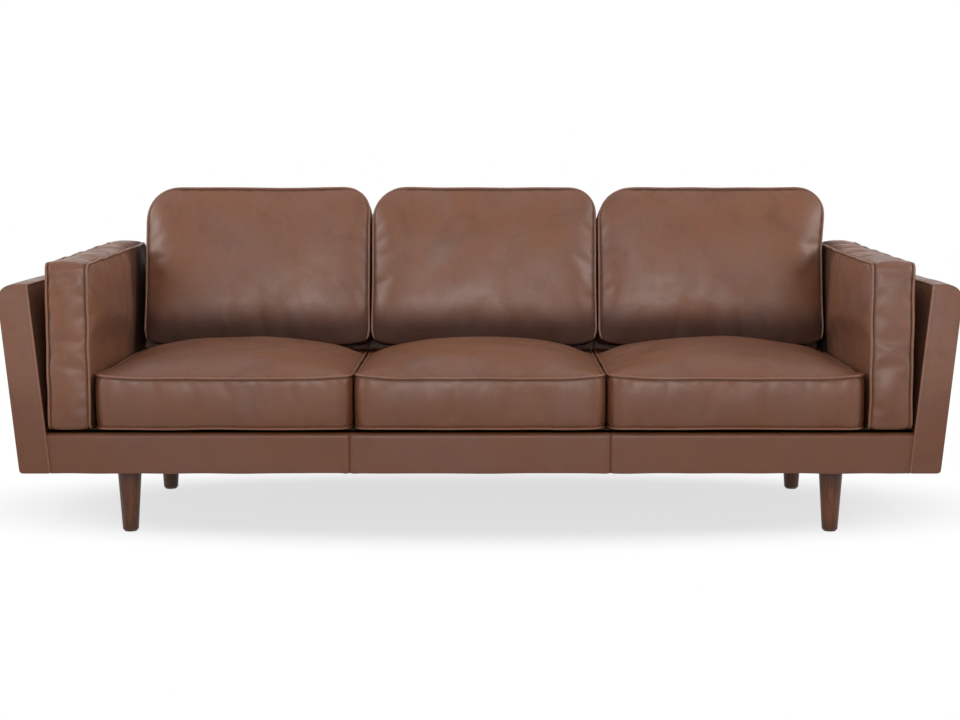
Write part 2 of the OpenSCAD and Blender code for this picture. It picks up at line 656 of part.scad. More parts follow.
leg_front_left();
leg_front_right();
leg_rear_left();
leg_rear_right();
glide_front_left();
glide_front_right();
glide_rear_left();
glide_rear_right();
hanger_bolts();
leg_plates();
leg_screws();
leg_rails();
front_rail();
rear_rails();
side_rails();
stretchers();
corner_blocks();
seat_springs();
spring_clips();
deck_pad();
seat_deck();
dust_cover();
apron_cover();
arm_cover_left();
arm_cover_right();
arm_piping();
arm_rails();
arm_posts();
arm_bolts();
back_cover();
back_rails();
back_posts();
back_webbing();
seat_left_cover();
seat_left_core();
seat_left_piping();
seat_middle_cover();
seat_middle_core();
seat_middle_piping();
seat_right_cover();
seat_right_core();
seat_right_piping();
back_left_cover();
back_left_core();
back_left_piping();
back_middle_cover();
back_middle_core();
back_middle_piping();
back_right_cover();
back_right_core();
back_right_piping();
arm_left_cover();
arm_left_core();
arm_left_piping();
arm_right_cover();
arm_right_core();
arm_right_piping();
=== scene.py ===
"""Three-seat leather sofa with loose cushions and wooden legs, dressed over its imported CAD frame.

Metres. X runs along the sofa, -Y is its front, Z is up. Positions come from the CAD nodes' boxes.
"""

import json
import math

import bmesh
import bpy
import numpy as np
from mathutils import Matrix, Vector
from numpy.linalg import norm


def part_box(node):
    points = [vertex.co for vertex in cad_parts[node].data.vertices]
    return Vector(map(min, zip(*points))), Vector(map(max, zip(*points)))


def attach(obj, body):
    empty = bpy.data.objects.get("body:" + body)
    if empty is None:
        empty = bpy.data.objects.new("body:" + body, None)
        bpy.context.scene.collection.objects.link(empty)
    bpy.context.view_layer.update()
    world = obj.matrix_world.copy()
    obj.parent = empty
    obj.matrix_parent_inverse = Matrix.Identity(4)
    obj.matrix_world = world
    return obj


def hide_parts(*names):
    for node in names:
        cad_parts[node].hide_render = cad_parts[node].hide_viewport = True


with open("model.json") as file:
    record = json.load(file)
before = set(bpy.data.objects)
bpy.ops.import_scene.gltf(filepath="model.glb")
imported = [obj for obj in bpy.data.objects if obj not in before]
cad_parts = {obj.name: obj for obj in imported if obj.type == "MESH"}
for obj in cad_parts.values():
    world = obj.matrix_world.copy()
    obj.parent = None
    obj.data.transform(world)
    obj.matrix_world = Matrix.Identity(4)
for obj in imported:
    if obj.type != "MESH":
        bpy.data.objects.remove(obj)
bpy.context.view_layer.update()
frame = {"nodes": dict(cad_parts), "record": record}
scene = bpy.context.scene
MM = 0.001

# ---- Camera: the photograph's, tilted down a little, in front of the middle ----
CAMERA_AT = (0.0209, -5.244, 0.978)
CAMERA_TILT = 6.211
CAMERA_LENS = 71.10
CAMERA_SHIFT_X = -0.0086


def make_camera():
    data = bpy.data.cameras.new("camera")
    data.lens = CAMERA_LENS
    data.sensor_width = 36.0
    data.shift_x = CAMERA_SHIFT_X
    cam = bpy.data.objects.new("camera", data)
    cam.location = CAMERA_AT
    cam.rotation_euler = (math.radians(90 - CAMERA_TILT), 0, 0)
    scene.collection.objects.link(cam)
    scene.camera = cam


make_camera()

# ---- Shape constants that the boxes don't give, the same as in part.scad ----
PIPE_R = 4 * MM
ARM_LEAN = math.radians(5.7)
ARM_T = 78 * MM
EDGE_R = 40 * MM
OUTBACK_LEAN = math.radians(7)
BACK_LEAN = math.radians(12)
ARM_CUSHION_FRONT = 704 * MM
ARM_CUSHION_RISE = 18 * MM
SEAM_X = 333 * MM
COVER_T = 8 * MM
ROLL_D = 28 * MM  # the apron's roll in front of the seats: how deep, and how far it stands above its rail
ROLL_RISE = 14 * MM

CORD_R = 3.3 * MM  # the piping as it shows, a little thinner than the CAD's
CORD_STEP = 9 * MM

# The frame's main heights and planes, and the corners that the rounded top edges are cut from
arm_low, arm_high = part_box("arm_cover_right")
apron_low, apron_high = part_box("apron_cover")
seat_low, seat_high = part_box("seat_left_piping")
base_z, arm_z = arm_low.z, arm_high.z
rail_top = apron_high.z - ROLL_RISE
deck_z = seat_low.z
rear_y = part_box("back_cover")[1].y
face_y = seat_low.y + PIPE_R
apron_y = apron_low.y
back_in_low = seat_high.y + 1 * MM
arm_corner = arm_high.x + EDGE_R * (math.tan(ARM_LEAN) + 1 / math.cos(ARM_LEAN) - 1)
back_corner = rear_y + EDGE_R * (math.tan(OUTBACK_LEAN) + 1 / math.cos(OUTBACK_LEAN) - 1)


def arm_out(z):
    """The arm's outer face: how far from the middle, at height z."""
    return arm_corner + math.tan(ARM_LEAN) * (z - arm_z)


def arm_in(z):
    return arm_out(z) - ARM_T


def back_out(z):
    """The back's rear face: its depth at height z."""
    return back_corner + math.tan(OUTBACK_LEAN) * (z - arm_z)


def back_in(z):
    """The back's front face: its depth at height z."""
    return back_in_low + math.tan(BACK_LEAN) * (z - deck_z)


# ---- Materials ----
def srgb(r, g, b):
    def lin(c):
        c /= 255
        return c / 12.92 if c <= 0.04045 else ((c + 0.055) / 1.055) ** 2.4

    return (lin(r), lin(g), lin(b), 1.0)


class Nodes:
    """A material's or a world's node tree, with short calls for what they share."""

    def __init__(self, owner):
        owner.use_nodes = True
        self.owner = owner
        self.tree = owner.node_tree
        self.coords = self.add("ShaderNodeTexCoord")
        self.coord = self.coords["Object"]

    def feed(self, sockets, values):
        """Sets sockets to numbers or colours, or links other nodes' outputs to them."""
        for key, value in values.items():
            if isinstance(value, (int, float, tuple)):
                sockets[key].default_value = value
            else:
                self.tree.links.new(value, sockets[key])

    def add(self, kind, values=None, **props):
        """The outputs of a new node."""
        node = self.tree.nodes.new(kind)
        for key, value in props.items():
            setattr(node, key, value)
        self.feed(node.inputs, values or {})
        return node.outputs

    def mapped(self, scale):
        return self.add("ShaderNodeMapping", {"Vector": self.coord, "Scale": scale})["Vector"]

    def noise(self, scale, detail=3.0, rough=0.55, distortion=0.0, vector=None):
        values = {"Scale": scale, "Detail": detail, "Roughness": rough, "Distortion": distortion}
        values["Vector"] = vector or self.coord
        return self.add("ShaderNodeTexNoise", values)["Fac"]

    def cells(self, scale):
        return self.add("ShaderNodeTexVoronoi", {"Vector": self.coord, "Scale": scale})["Distance"]

    def waves(self, scale, axis):
        values = {"Vector": self.coord, "Scale": scale}
        return self.add("ShaderNodeTexWave", values, bands_direction=axis)["Fac"]

    def height(self):
        return self.add("ShaderNodeSeparateXYZ", {"Vector": self.coord})["Z"]

    def span(self, value, low, high, to_low=0.0, to_high=1.0):
        values = {"Value": value, "From Min": low, "From Max": high, "To Min": to_low, "To Max": to_high}
        return self.add("ShaderNodeMapRange", values, interpolation_type="SMOOTHSTEP")["Result"]

    def math(self, operation, a, b):
        return self.add("ShaderNodeMath", {0: a, 1: b}, operation=operation)["Value"]

    def blend(self, a, b, share):
        """The sum of a in that share and b in the rest."""
        return self.math("ADD", self.math("MULTIPLY", a, share), self.math("MULTIPLY", b, 1 - share))

    def mix(self, factor, a, b):
        return self.add("ShaderNodeMix", {0: factor, 6: a, 7: b}, data_type="RGBA")[2]

    def bump(self, height, distance, strength, below=None):
        values = {"Height": height, "Distance": distance, "Strength": strength}
        if below is not None:
            values["Normal"] = below
        return self.add("ShaderNodeBump", values)["Normal"]

    def finish(self, color, roughness, normal=None, **constants):
        """Feeds the material's shader, and returns the material."""
        values = {"Base Color": color, "Roughness": roughness}
        if normal is not None:
            values["Normal"] = normal
        for key, value in constants.items():
            values[key.replace("_", " ")] = value
        self.feed(self.tree.nodes["Principled BSDF"].inputs, values)
        return self.owner


def new_material(name):
    return Nodes(bpy.data.materials.new(name))


# Below the first of these heights the leather turns to its painted shade, a darker, more saturated tone for
# the lower faces that get less light; fully so at the second
PAINTED_SHADE_TOP, PAINTED_SHADE_LOW = 0.49, 0.28


def leather(name, mauve, tan, painted_low_tone, dark, rough_low, rough_high):
    """Waxed leather: broad soft patches, pores and fine creases. The seam attribute darkens it: the seams'
    own lines, painted shade beside the piping, and painted shade where the cushions fold under.
    """
    n = new_material(name)
    patches = n.span(n.noise(4.2, 3, 0.5, 0.9), 0.34, 0.66)
    blotches = n.span(n.noise(13, 4, 0.55, 0.5), 0.32, 0.68)
    color = n.mix(n.blend(patches, blotches, 0.62), mauve, tan)
    smoke = n.span(n.noise(7.5, 5, 0.6, 1.2), 0.46, 0.74, 0.0, 0.20)
    fine = n.span(n.noise(120, 3, 0.6), 0.35, 0.75, 0.0, 0.10)
    # seam lines together with painted shade, as the covers' seam attribute gives them
    seam = n.add("ShaderNodeAttribute", attribute_name="seam")["Fac"]
    for amount in (smoke, fine, n.math("MULTIPLY", seam, 0.88)):
        color = n.mix(amount, color, dark)
    # Painted shade: lower down, the leather is mixed towards its darker, more saturated shade tone
    color = n.mix(n.span(n.height(), PAINTED_SHADE_TOP, PAINTED_SHADE_LOW, 0.0, 0.62), color, painted_low_tone)
    rough = n.math("ADD", n.span(blotches, 0, 1, rough_low, rough_high), n.math("MULTIPLY", seam, 0.42))
    soft = n.bump(n.noise(26, 3, 0.5, 0.4), 1.2 * MM, 0.22)
    creased = n.bump(n.noise(230, 5, 0.62, 0.8), 0.25 * MM, 0.35, soft)
    normal = n.bump(n.span(n.cells(620), 0.0, 0.55), 0.10 * MM, 0.35, creased)
    return n.finish(color, rough, normal, Specular_IOR_Level=0.36)


def wood(name, light, dark, rough_low, rough_high, along, ring, ends=None):
    """Straight grain along one axis. ends are the heights of a leg's foot and top, where it darkens."""
    n = new_material(name)
    scale = [9.0, 9.0, 9.0]
    scale["XYZ".index(along)] = 0.55
    v = n.mapped(tuple(scale))
    grain = n.span(n.noise(ring, 6, 0.62, 0.7, v), 0.34, 0.66)
    streak = n.noise(ring * 5.5, 3, 0.6, 0.2, v)
    tone = n.blend(grain, streak, 0.68)
    color = n.mix(tone, dark, light)
    if ends:
        foot, top = ends
        z = n.height()
        near = n.math("ADD", n.span(z, foot, foot + 0.05, 1.0, 0.0), n.span(z, top - 0.07, top, 0.0, 1.0))
        color = n.mix(n.math("MULTIPLY", near, 0.55), color, dark)
    rough = n.span(streak, 0.2, 0.8, rough_low, rough_high)
    return n.finish(color, rough, n.bump(tone, 0.35 * MM, 0.5), Specular_IOR_Level=0.4)


def metal(name, light, dark, rough_low, rough_high):
    """Bare steel, smeared, with scratches across it."""
    n = new_material(name)
    smear = n.noise(45, 4, 0.6, 0.4)
    scratch = n.noise(60, 3, 0.6, 0.0, n.mapped((1.0, 14.0, 1.0)))
    color = n.mix(n.span(smear, 0.3, 0.7), dark, light)
    rough = n.span(scratch, 0.3, 0.7, rough_low, rough_high)
    return n.finish(color, rough, n.bump(scratch, 0.08 * MM, 0.4), Metallic=1.0)


def plastic(name, light, dark, rough_low, rough_high):
    """Moulded plastic with a faint mottle."""
    n = new_material(name)
    mottle = n.noise(160, 3, 0.6)
    color = n.mix(n.span(mottle, 0.3, 0.7), dark, light)
    rough = n.span(n.noise(60, 2), 0.3, 0.7, rough_low, rough_high)
    return n.finish(color, rough, n.bump(mottle, 0.1 * MM, 0.5))


def woven(name, light, dark, thread, rough=0.85):
    """Plain weave: threads of that width, over and under."""
    n = new_material(name)
    bands = math.pi / thread / 10
    cross = n.blend(n.waves(bands, "X"), n.waves(bands, "Y"), 0.5)
    slub = n.noise(55, 4, 0.6)
    color = n.mix(n.math("MULTIPLY", n.math("ADD", cross, slub), 0.5), dark, light)
    return n.finish(color, n.span(slub, 0.2, 0.8, rough - 0.06, rough + 0.08), n.bump(cross, 0.4 * MM, 0.7))


def felted(name, light, dark, lump, rough=0.9):
    """Foam, wadding and felt: fine cells in soft lumps."""
    n = new_material(name)
    lumps = n.noise(lump, 4, 0.6)
    cells = n.cells(700)
    color = n.mix(n.span(lumps, 0.3, 0.7), dark, light)
    normal = n.bump(cells, 0.5 * MM, 0.6, n.bump(lumps, 2 * MM, 0.5))
    return n.finish(color, n.span(lumps, 0.2, 0.8, rough - 0.08, rough), normal)


finishes = {name: kind(name, *rest) for kind, name, *rest in (
    # Each leather's third colour is the painted shade it turns to low down; the fourth, its darkest tone,
    # also paints the seams' lines and painted shade
    (leather, "leather", srgb(123, 88, 74), srgb(125, 82, 59), srgb(90, 46, 17), srgb(44, 18, 10),
     0.35, 0.45),
    (leather, "piping_leather", srgb(136, 99, 84), srgb(136, 94, 71), srgb(104, 60, 34), srgb(48, 20, 12),
     0.34, 0.44),
    (wood, "leg_wood", srgb(114, 60, 24), srgb(50, 22, 6), 0.34, 0.48, "Z", 16.0, (0.003, 0.164)),
    (plastic, "glide_plastic", srgb(42, 41, 40), srgb(26, 25, 25), 0.45, 0.6),
    (wood, "frame_wood", srgb(214, 178, 128), srgb(168, 128, 84), 0.62, 0.8, "X", 9.0),
    (metal, "steel", srgb(190, 192, 194), srgb(138, 140, 144), 0.28, 0.42),
    (felted, "wadding", srgb(236, 232, 222), srgb(208, 202, 190), 30),
    (woven, "webbing", srgb(214, 200, 170), srgb(150, 132, 98), 2.2 * MM),
    (woven, "deck_cloth", srgb(58, 44, 38), srgb(34, 25, 21), 1.1 * MM),
    (woven, "dust_cloth", srgb(46, 46, 47), srgb(24, 24, 25), 0.9 * MM),
    (felted, "foam", srgb(240, 232, 190), srgb(222, 210, 160), 60),
)}

for part in frame["record"]["subparts"]:
    obj = frame["nodes"][part["node"]]
    if not obj.material_slots:
        obj.data.materials.append(None)
    for spot in obj.material_slots:
        spot.material = finishes[part["material_slot"]]


# ---- Mesh helpers ----
def make_mesh(name, verts, faces, split_over=None):
    """A closed mesh, its faces turned outward; those with more than split_over corners become triangles."""
    mesh = bpy.data.meshes.new(name)
    mesh.from_pydata([tuple(v) for v in verts], [], faces)
    bm = bmesh.new()
    bm.from_mesh(mesh)
    bmesh.ops.recalc_face_normals(bm, faces=bm.faces)
    if split_over:
        bmesh.ops.triangulate(bm, faces=[f for f in bm.faces if len(f.verts) > split_over])
    bm.to_mesh(mesh)
    bm.free()
    return mesh


def add_piece(name, verts, faces, body, slot, replaces, subdivide=0, seam=None, split_over=None):
    """A smooth closed mesh that rides on a body, finished in a record slot, in place of CAD nodes."""
    mesh = make_mesh(name, verts, faces, split_over)
    mesh.polygons.foreach_set("use_smooth", [True] * len(mesh.polygons))
    if seam is not None:
        layer = mesh.attributes.new("seam", "FLOAT", "POINT")
        layer.data.foreach_set("value", np.clip(seam, 0, 1).astype(np.float32))
    obj = bpy.data.objects.new(name, mesh)
    scene.collection.objects.link(obj)
    mesh.materials.append(finishes[slot])
    if subdivide:
        smooth = obj.modifiers.new("smooth", "SUBSURF")
        smooth.levels = smooth.render_levels = subdivide
    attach(obj, body)
    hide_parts(*replaces)
    return obj


def path_length(points):
    return norm(np.diff(points, axis=0), axis=1).sum()


def outward(loop):
    """Unit vectors that point out of a closed outline drawn anticlockwise, at each of its points."""
    tangent = np.roll(loop, -1, 0) - np.roll(loop, 1, 0)
    tangent /= norm(tangent, axis=1)[:, None]
    return np.stack([tangent[:, 1], -tangent[:, 0]], axis=1)


def rounded(corners, radii, steps=8):
    """An outline drawn anticlockwise, its corners rounded, and the index of each corner's middle."""
    pts, middles = [], []
    count = len(corners)
    for i, r in enumerate(radii):
        c = np.array(corners[i], float)
        a = np.array(corners[i - 1], float) - c
        b = np.array(corners[(i + 1) % count], float) - c
        a /= norm(a)
        b /= norm(b)
        half = math.acos(np.clip(a @ b, -1, 1)) / 2
        centre = c + (a + b) / norm(a + b) * r / math.sin(half)
        start = c + a * r / math.tan(half) - centre
        end = c + b * r / math.tan(half) - centre
        sweep = math.pi - 2 * half
        middles.append(len(pts) + steps // 2)
        for k in range(steps + 1):
            t = k / steps
            v = (math.sin((1 - t) * sweep) * start + math.sin(t * sweep) * end) / math.sin(sweep)
            pts.append(centre + v)
    return np.array(pts), middles


def resample(pts, spots):
    """Points of an open line at fractions of its length."""
    step = norm(np.diff(pts, axis=0), axis=1)
    at = np.concatenate([[0], np.cumsum(step)])
    at /= at[-1]
    return np.stack([np.interp(spots, at, pts[:, k]) for k in range(pts.shape[1])], axis=1)


def spots_for(length, step, fine=(3 * MM, 6 * MM, 10 * MM, 17 * MM)):
    """Fractions along a side: fine near both ends, even between."""
    count = max(2, int(round((length - 2 * fine[-1]) / step)))
    middle = np.linspace(fine[-1], length - fine[-1], count + 1)
    return np.concatenate([[0], fine[:-1], middle, [length - f for f in fine[:-1]][::-1], [length]]) / length


def smoothstep(x, a, b):
    t = np.clip((np.asarray(x, float) - a) / (b - a), 0, 1)
    return t * t * (3 - 2 * t)


def ripple(points, scale, seed):
    """Smooth noise, about -1 to 1: waves in random directions from a fixed seed."""
    rng = np.random.default_rng(seed)
    total = np.zeros(len(points))
    for _ in range(7):
        direction = rng.normal(size=points.shape[1])
        direction /= norm(direction)
        wave = points @ direction * (2 * math.pi / scale)
        total += np.sin(wave * rng.uniform(0.6, 1.6) + rng.uniform(0, 6.3))
    return total / 3.2


def ring_faces(rings, sides, closed=False):
    """The faces between rings of vertices, and from the last ring back to the first if closed."""
    faces = []
    for i in range(rings if closed else rings - 1):
        j = (i + 1) % rings
        for k in range(sides):
            m = (k + 1) % sides
            faces.append((i * sides + k, i * sides + m, j * sides + m, j * sides + k))
    return faces


def tube(path, radius, closed, sides=10):
    """Verts and faces of a round rope along a path, with flat ends where it is open."""
    path = np.asarray(path, float)
    count = len(path)
    if closed:
        tangent = np.roll(path, -1, 0) - np.roll(path, 1, 0)
    else:
        tangent = np.gradient(path, axis=0)
    tangent /= norm(tangent, axis=1)[:, None]
    normal = np.cross(tangent[0], (0.31, 0.52, 0.79))
    normals = []
    for t in tangent:
        normal = normal - t * (normal @ t)
        normal /= norm(normal)
        normals.append(normal)
    normals = np.array(normals)
    if closed:  # spreads the twist left over at the join
        last = normals[-1] - tangent[0] * (normals[-1] @ tangent[0])
        last /= norm(last)
        off = math.atan2(np.cross(last, normals[0]) @ tangent[0], last @ normals[0])
        turn = np.linspace(0, off, count + 1)[:-1]
        side = np.cross(tangent, normals)
        normals = normals * np.cos(turn)[:, None] + side * np.sin(turn)[:, None]
    side = np.cross(tangent, normals)
    verts = []
    for k in range(sides):
        a = 2 * math.pi * k / sides
        verts.append(path + radius * (math.cos(a) * normals + math.sin(a) * side))
    verts = np.stack(verts, axis=1).reshape(-1, 3)
    faces = ring_faces(count, sides, closed)
    if not closed:
        faces += [tuple(range(sides))[::-1], tuple((count - 1) * sides + k for k in range(sides))]
    return verts, faces


def bow(x, power, edge=0.75, peak=0.5):
    """A crown's profile over 0 to 1: 0 at both ends, 1 at the peak; a low edge makes it full at its ends."""
    x = np.clip(x, 0, 1)
    rel = np.where(x < peak, (peak - x) / peak, (x - peak) / (1 - peak))
    return (1 - rel ** power) ** edge


def split_sides(line, middles):
    """A closed outline's four sides, each from the middle of one corner to that of the next."""
    count = len(line)
    sides = []
    for a, b in zip(middles, middles[1:] + middles[:1]):
        index = np.arange(a, b + 1 if b > a else b + count + 1) % count
        sides.append(line[index])
    return sides


def patch(sides, su, sv):
    """A grid over a four-sided outline, blended from its sides, at fractions su and sv of them."""
    bottom, right = resample(sides[0], su), resample(sides[1], sv)
    top, left = resample(sides[2][::-1], su), resample(sides[3][::-1], sv)
    s, t = su[:, None, None], sv[None, :, None]
    between = (1 - t) * bottom[:, None] + t * top[:, None] + (1 - s) * left[None] + s * right[None]
    return (between - (1 - s) * (1 - t) * bottom[0] - s * (1 - t) * bottom[-1]
            - (1 - s) * t * top[0] - s * t * top[-1])


def pulled_in(grid, pull, low, high):
    """The sides of a panel pull in between its corners, by that much at their middles."""
    rel = (grid - (low + high) / 2) / ((high - low) / 2)
    u, v = rel[..., 0], rel[..., 1]
    return grid - np.stack([np.sign(u) * np.abs(u) ** 3 * pull * (1 - v ** 2),
                            np.sign(v) * np.abs(v) ** 3 * pull * (1 - u ** 2)], axis=-1)


def flat(s, t):
    """No crown, at fractions s and t of a panel's sides."""
    return 0 * s


class Block:
    """A padded block: two panels sewn to a band round a rounded outline, as one closed mesh.

    Its corners lie in the panels' plane; panel A's seam is at height 0 and panel B's at -thick. The crowns
    give the panels' rise at fractions of their sides, bulge is the band's, and pull draws the sides in.
    The shade it carries is painted shade: leather painted darker where it folds under or turns from the
    light, as at the foot of a back cushion.
    """

    def __init__(self, corners, radii, thick, step, band_step, seed, crown_a=flat, crown_b=flat, bulge=0.0,
                 pull=0.0, warp=lambda grid, s, t: grid):
        line, middles = rounded(corners, radii)
        sides = split_sides(line, middles)
        bottom, right, top, left = [path_length(s) for s in sides]
        width, height = (bottom + top) / 2, (right + left) / 2
        su, sv = spots_for(width, step), spots_for(height, step)
        S, T = np.meshgrid(su, sv, indexing="ij")
        grid = warp(pulled_in(patch(sides, su, sv), pull, line.min(0), line.max(0)), S, T)
        self.nu, self.nv = S.shape
        loop = self.border()
        ring = np.array([grid[i, j] for i, j in loop])
        rows = spots_for(thick, band_step)[1:-1]
        verts = []
        for high in (crown_a(S, T), -thick - crown_b(S, T)):
            verts.append(np.concatenate([grid, high[..., None]], axis=-1).reshape(-1, 3))
        for r in rows:
            swollen = ring + outward(ring) * (bulge * (1 - abs(2 * r - 1) ** 2.4) ** 0.75)
            verts.append(np.concatenate([swollen, np.full((len(ring), 1), -thick * r)], axis=1))
        self.verts = np.concatenate(verts)
        self.sew(loop, len(rows))
        # Distance of each vertex from the nearer seam, along the surface
        across, up = np.minimum(S, 1 - S) * width, np.minimum(T, 1 - T) * height
        panel = np.minimum(across, up).reshape(-1)
        band = np.concatenate([np.full(len(loop), min(r, 1 - r) * thick) for r in rows])
        self.seam_distance = np.concatenate([panel, panel, band])
        index = np.arange(len(self.verts))
        self.is_a = index < len(panel)
        self.is_band = index >= 2 * len(panel)
        self.is_b = ~self.is_a & ~self.is_band
        self.seed = seed
        # painted shade: none until a cushion sets it
        self.painted_shade = 0.0

    def border(self):
        """The grid places round a panel's edge, in order."""
        nu, nv = self.nu, self.nv
        return ([(i, 0) for i in range(nu - 1)] + [(nu - 1, j) for j in range(nv - 1)]
                + [(i, nv - 1) for i in range(nu - 1, 0, -1)] + [(0, j) for j in range(nv - 1, 0, -1)])

    def sew(self, loop, row_count):
        """The faces of both panels and the band between them, and the two seams' vertices."""
        nu, nv = self.nu, self.nv
        size = nu * nv
        count = len(loop)
        edge = [i * nv + j for i, j in loop]
        rings = [edge]
        rings += [[2 * size + k * count + m for m in range(count)] for k in range(row_count)]
        rings.append([size + k for k in edge])
        self.faces = []
        for i in range(nu - 1):
            for j in range(nv - 1):
                a, b, c, d = i * nv + j, (i + 1) * nv + j, (i + 1) * nv + j + 1, i * nv + j + 1
                self.faces.append((a, b, c, d))
                self.faces.append((size + a, size + d, size + c, size + b))
        for upper, lower in zip(rings, rings[1:]):
            for m in range(count):
                k = (m + 1) % count
                self.faces.append((upper[m], lower[m], lower[k], upper[k]))
        self.seam_a, self.seam_b = rings[0], rings[-1]

    def normals(self):
        mesh = make_mesh("scratch", self.verts, self.faces)
        out = np.zeros(len(mesh.vertices) * 3)
        mesh.vertex_normals.foreach_get("vector", out)
        bpy.data.meshes.remove(mesh)
        return out.reshape(-1, 3)

    def inflate(self, growth, cap):
        """Cloth simulation, the seams held: the panels swell, each point by cap at most."""
        mesh = make_mesh("cloth", self.verts, self.faces)
        obj = bpy.data.objects.new("cloth", mesh)
        scene.collection.objects.link(obj)
        held = obj.vertex_groups.new(name="held")
        held.add(self.seam_a + self.seam_b, 1.0, "ADD")
        cloth = obj.modifiers.new("cloth", "CLOTH")
        s = cloth.settings
        s.quality = 6
        s.mass = 0.35
        s.tension_stiffness = s.compression_stiffness = 22
        s.shear_stiffness = 14
        s.bending_stiffness = 2.5
        s.tension_damping = s.compression_damping = s.shear_damping = 12
        s.vertex_group_mass = "held"
        s.shrink_min = -growth
        s.use_pressure = True
        s.uniform_pressure_force = SIM_PRESSURE
        s.effector_weights.gravity = 0
        cloth.collision_settings.use_collision = False
        cloth.point_cache.frame_start, cloth.point_cache.frame_end = 1, SIM_FRAMES
        for f in range(1, SIM_FRAMES + 1):
            scene.frame_set(f)
        solved = obj.evaluated_get(bpy.context.evaluated_depsgraph_get())
        new = np.zeros(len(self.verts) * 3)
        solved.to_mesh().vertices.foreach_get("co", new)
        solved.to_mesh_clear()
        bpy.data.objects.remove(obj)
        bpy.data.meshes.remove(mesh)
        scene.frame_set(1)
        moved = new.reshape(-1, 3) - self.verts
        size = norm(moved, axis=1)
        reach = cap * np.tanh(size / np.maximum(cap, 1e-6))
        scale = np.where(size > 1e-9, reach / np.maximum(size, 1e-9), 0)
        self.verts = self.verts + moved * scale[:, None]

    def push(self, depth):
        """Moves each vertex outward by its depth."""
        self.verts = self.verts + self.normals() * depth[:, None]

    def pucker(self, depth, wave, reach, where=lambda p: 1.0):
        """Small gathers that run in from the seams, strongest where `where` says."""
        near = np.exp(-self.seam_distance / reach) * (1 - np.exp(-self.seam_distance / (0.25 * reach)))
        clusters = smoothstep(ripple(self.verts, 0.16, self.seed), -0.2, 0.9) * where(self.verts)
        self.push(depth * near * clusters * ripple(self.verts, wave, self.seed + 5))

    def soften(self, depth, wave):
        """Broad unevenness of the filling, none at the seams."""
        free = smoothstep(self.seam_distance, 0.0, 45 * MM)
        self.push(depth * free * ripple(self.verts, wave, self.seed + 9))

    def sink_seams(self, depth=1.2 * MM, reach=5 * MM):
        """The stuffing dips just beside the seams, outside the stitches."""
        self.push(-depth * np.exp(-((self.seam_distance - reach) / (0.6 * reach)) ** 2))

    def wander(self, depth, wave):
        """The whole piece a little out of true, seams too."""
        shifts = [depth * ripple(self.verts, wave, self.seed + 21 + k) for k in range(3)]
        self.verts = self.verts + np.stack(shifts, axis=1)

    def lift_corners(self, corner, depth, reach):
        """Raises panel A's side of the block near both corners at (+-x, y)."""
        far = np.hypot(np.abs(self.verts[:, 0]) - corner[0], self.verts[:, 1] - corner[1])
        self.verts[:, 2] += depth * np.exp(-(far / reach) ** 2) * smoothstep(self.verts[:, 2], -60 * MM, 0)

    def press_sides(self, half):
        """Neighbours hold the sides flat a little outside the seams, which are half from the middle."""
        self.verts[:, 0] = np.clip(self.verts[:, 0], -half - SIDE_SWELL, half + SIDE_SWELL)

    def seam_and_painted_shade(self, panel=0.25):
        """Dark right beside the piping, on the band more than on the panels: partly the seam's own darker
        line and partly painted shade under the piping. Where the block's painted shade is darker, that is
        used instead.
        """
        line = 1 - smoothstep(self.seam_distance, 4.0 * MM, 8.5 * MM)
        return np.maximum(line * np.where(self.is_band, 1.0, panel), self.painted_shade)


def resample_closed(points, step):
    ring = np.concatenate([points, points[:1]])
    return resample(ring, np.linspace(0, 1, int(round(path_length(ring) / step)) + 1))[:-1]


def joined(meshes):
    """Several (verts, faces) as one."""
    verts, faces, start = [], [], 0
    for v, f in meshes:
        faces += [tuple(start + i for i in face) for face in f]
        verts.append(v)
        start += len(v)
    return np.concatenate(verts), faces


def place_cushion(block, name, place, panel_seam_shade=0.25):
    """A cushion's leather cover, and its piping along both seams. name starts its CAD nodes' names."""
    body = f"{name}_cushion"
    world = place(block.verts)
    cover = add_piece(f"{name}_leather", world, block.faces, body, "leather",
                      # the cover's seam attribute carries the seam lines and the painted shade
                      (f"{name}_cover", f"{name}_core"), 1, block.seam_and_painted_shade(panel_seam_shade))
    seams = (block.seam_a, block.seam_b)
    verts, faces = joined([tube(resample_closed(world[seam], CORD_STEP), CORD_R, True) for seam in seams])
    add_piece(f"{name}_cord", verts, faces, body, "piping_leather", (f"{name}_piping",))


# ---- What the cushions share ----
SIM_PRESSURE, SIM_FRAMES = 4.0, 20
SIDE_SWELL = 3 * MM  # how far a cushion's side may stand outside its seams
FREE = 1 * MM  # kept between a cushion and what it rests against
OPEN = 60 * MM  # added to a limit where it no longer holds
LIFTED = 0.4 * MM  # kept between a cushion's underside and the deck

# ---- Seat cushions: a crowned top, a boxed band and a flat bottom ----
SEAT_RADII = [40 * MM, 40 * MM, 26 * MM, 26 * MM]
SEAT_CROWN = 57 * MM
SEAT_BULGE = 2.5 * MM
SEAT_PULL = 2.0 * MM
DENT_START = 88 * MM  # behind this the back cushions press the seats down
DENT_LENGTH = 32 * MM
DENT_GAP = 6 * MM
CORNER_LIFT = 6 * MM  # the front corners are stuffed up by this much
CORNER_IN = 14 * MM


